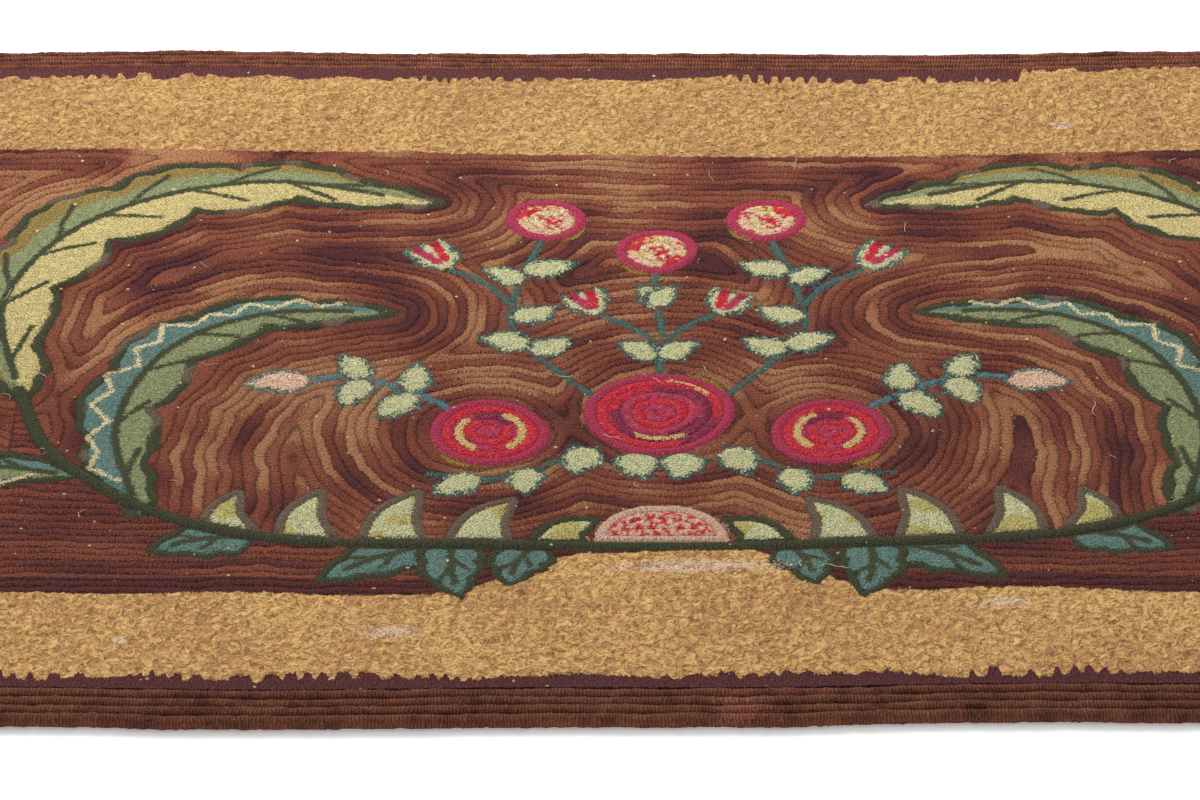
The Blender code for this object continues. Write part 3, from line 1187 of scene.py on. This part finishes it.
linen, surface, place = new_finish("foundation_linen")
colour, height = worked_yarn(place)
parts = place.node("SeparateXYZ", {}, {0: place})
threads = [Value(parts.socket.node.outputs[k]) * (2 * math.pi / 1.3) for k in (0, 1)]
weft, warp = [thread.maths("SINE", thread) for thread in threads]
weave = (weft * warp * 0.5 + 0.5).clamped()
flax = shaded((*dyed(186, 160, 118), 1), 0.70 + 0.35 * weave + 0.2 * (noise(place, 0.5) - 0.5))
shows = ((noise(place, 0.45, 2.0) - 0.42) * 6).clamped()
hemmed = (attribute(place, "hem") * 2).clamped()
backs = shaded(colour, 0.82 + 0.2 * weave)
under = blended(shows * (1 - hemmed), flax, backs)
finish_with(surface, under, weave * 0.25 + height * 0.3 * (1 - hemmed))
foundation.data.materials.append(linen)
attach(foundation, "root")
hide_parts("hooked_rug")


# ------ loose threads
# Old wool sheds: short ends stand out along the edge cords, and odd cream threads and
# bits of lint lie caught in the pile.

random = np.random.default_rng(80)
ENDS, STRAYS, LINT = 2600, 60, 240


def thread_mesh(name, paths, thick):
    """Thin three-sided threads along these paths, joined in one piece."""
    corners, faces = [], []
    turn = np.arange(3) * 2 * math.pi / 3
    for path in paths:
        path = np.asarray(path)
        start = len(corners)
        step = np.gradient(path, axis=0)
        step /= np.linalg.norm(step, axis=1)[:, None] + 1e-12
        side = np.cross(step, (0.3, 0.2, 1.0))
        side /= np.linalg.norm(side, axis=1)[:, None]
        up = np.cross(side, step)
        for k, centre in enumerate(path):
            radius = thick / 2 * (1 if 0 < k < len(path) - 1 else 0.5)
            for t in turn:
                corners.append(centre + radius * (side[k] * math.cos(t) + up[k] * math.sin(t)))
        for k in range(len(path) - 1):
            for j in range(3):
                a, b = start + 3 * k + j, start + 3 * k + (j + 1) % 3
                faces.append((a, b, b + 3, a + 3))
        faces.append((start + 2, start + 1, start))
        end = start + 3 * (len(path) - 1)
        faces.append((end, end + 1, end + 2))
    mesh = bpy.data.meshes.new(name)
    mesh.from_pydata([tuple(c) for c in corners], [], faces)
    mesh.validate()
    mesh.shade_smooth()
    piece = bpy.data.objects.new(name, mesh)
    bpy.context.scene.collection.objects.link(piece)
    return piece


def fuzz_end():
    """A short wool end that stands out of the outermost cord."""
    k = random.integers(len(outer_edge))
    out = outer_edge[k] - inner_edge[k]
    out = out / np.hypot(*out)
    rise = random.uniform(0.15, 1.2)
    x, y = as_it_lies(*outer_edge[k])
    top = float(crest(x, y))
    inward = -out * 0.0045 * (1 - math.cos(rise))
    begin = np.array((x + inward[0], y + inward[1], top * (0.5 + 0.45 * math.sin(rise))))
    way = np.array((*(out * math.cos(rise)), math.sin(rise)))
    way = way + random.normal(0, 0.5, 3)
    way[2] = max(way[2], -0.2)
    way /= np.linalg.norm(way)
    length = random.uniform(0.0012, 0.0030)
    bend = random.normal(0, 0.25, 3) * length
    half_way, tip = begin + way * length * 0.5 + bend * 0.4, begin + way * length + bend
    return np.maximum([begin - way * 0.0005, half_way, tip], (-9, -9, 0.0003))


def lying_thread(length, loose):
    """A thread that lies on the pile in a loose curve."""
    x, y = random.uniform(-0.68, 0.68), random.uniform(-0.30, 0.30)
    turn = random.uniform(0, 2 * math.pi)
    path = []
    for k in range(7):
        turn += random.normal(0, loose)
        x, y = x + math.cos(turn) * length / 6, y + math.sin(turn) * length / 6
        lie_x, lie_y = as_it_lies(x, y)
        path.append((lie_x, lie_y, float(crest(x, y)) + 0.0001 + 0.0003 * math.sin(k)))
    return path


ends = thread_mesh("wool_ends", [fuzz_end() for _ in range(ENDS)], 0.00018)
strays = thread_mesh(
    "stray_threads",
    [lying_thread(random.uniform(0.006, 0.016), 0.5) for _ in range(STRAYS)]
    + [lying_thread(random.uniform(0.0015, 0.003), 1.4) for _ in range(LINT)],
    0.00034,
)
ends.data.materials.append(cord_wool)
stray_wool, surface, place = new_finish("stray_wool")
fuzz = noise(place, 0.5)
pale = blended((fuzz * 2 - 0.5).clamped(), (*dyed(206, 180, 140), 1), (*dyed(238, 226, 206), 1))
finish_with(surface, pale, fuzz * 0.1)
strays.data.materials.append(stray_wool)
for piece in (ends, strays):
    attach(piece, "root")


# ------ floor, light, camera
# The rug lies on a plain white floor, lit a little from within as a studio table is, under
# one broad soft light and an even sky. It is seen across its long side from well back and
# a little above, with both ends out of view.

bpy.ops.object.select_all(action="DESELECT")
bpy.ops.mesh.primitive_plane_add(size=14, location=(0, 0, -0.0002))
floor = bpy.context.object
floor.name = "floor"
floor_paint = bpy.data.materials.new("floor_paint")
floor_paint.use_nodes = True
paint = floor_paint.node_tree.nodes["Principled BSDF"]
paint.inputs["Base Color"].default_value = (0.96, 0.96, 0.96, 1)
paint.inputs["Roughness"].default_value = 0.9
paint.inputs["Emission Color"].default_value = (1, 1, 1, 1)
paint.inputs["Emission Strength"].default_value = 0.22
floor.data.materials.append(floor_paint)


def soft_light(name, power, size, place, aim):
    light = bpy.data.lights.new(name, "AREA")
    light.energy, light.size = power, size
    lamp = bpy.data.objects.new(name, light)
    lamp.location = place
    way = np.array(aim) - np.array(place)
    lamp.rotation_euler = (
        math.atan2(math.hypot(way[0], way[1]), -way[2]), 0, math.atan2(way[0], -way[1]) + math.pi
    )
    bpy.context.scene.collection.objects.link(lamp)


soft_light("key_light", 108, 2.0, (-1.3, 1.9, 2.5), (0, 0, 0))
sky = bpy.data.worlds.new("sky")
sky.use_nodes = True
sky.node_tree.nodes["Background"].inputs[0].default_value = (1, 1, 1, 1)
sky.node_tree.nodes["Background"].inputs[1].default_value = 0.62
bpy.context.scene.world = sky
bpy.context.scene.view_settings.view_transform = "Standard"

VIEW_DOWN, VIEW_FROM, LENS = math.radians(34.0), 3.041, 155.7
aim_x, aim_y = -0.0347, -0.0503
camera = bpy.data.objects.new("camera", bpy.data.cameras.new("camera"))
camera.data.lens, camera.data.sensor_width = LENS, 36.0
camera.location = (
    aim_x, aim_y - VIEW_FROM * math.cos(VIEW_DOWN), 0.008 + VIEW_FROM * math.sin(VIEW_DOWN)
)
camera.rotation_euler = (math.pi / 2 - VIEW_DOWN, 0, 0)
camera.data.clip_end = 50
bpy.context.scene.collection.objects.link(camera)
bpy.context.scene.camera = camera
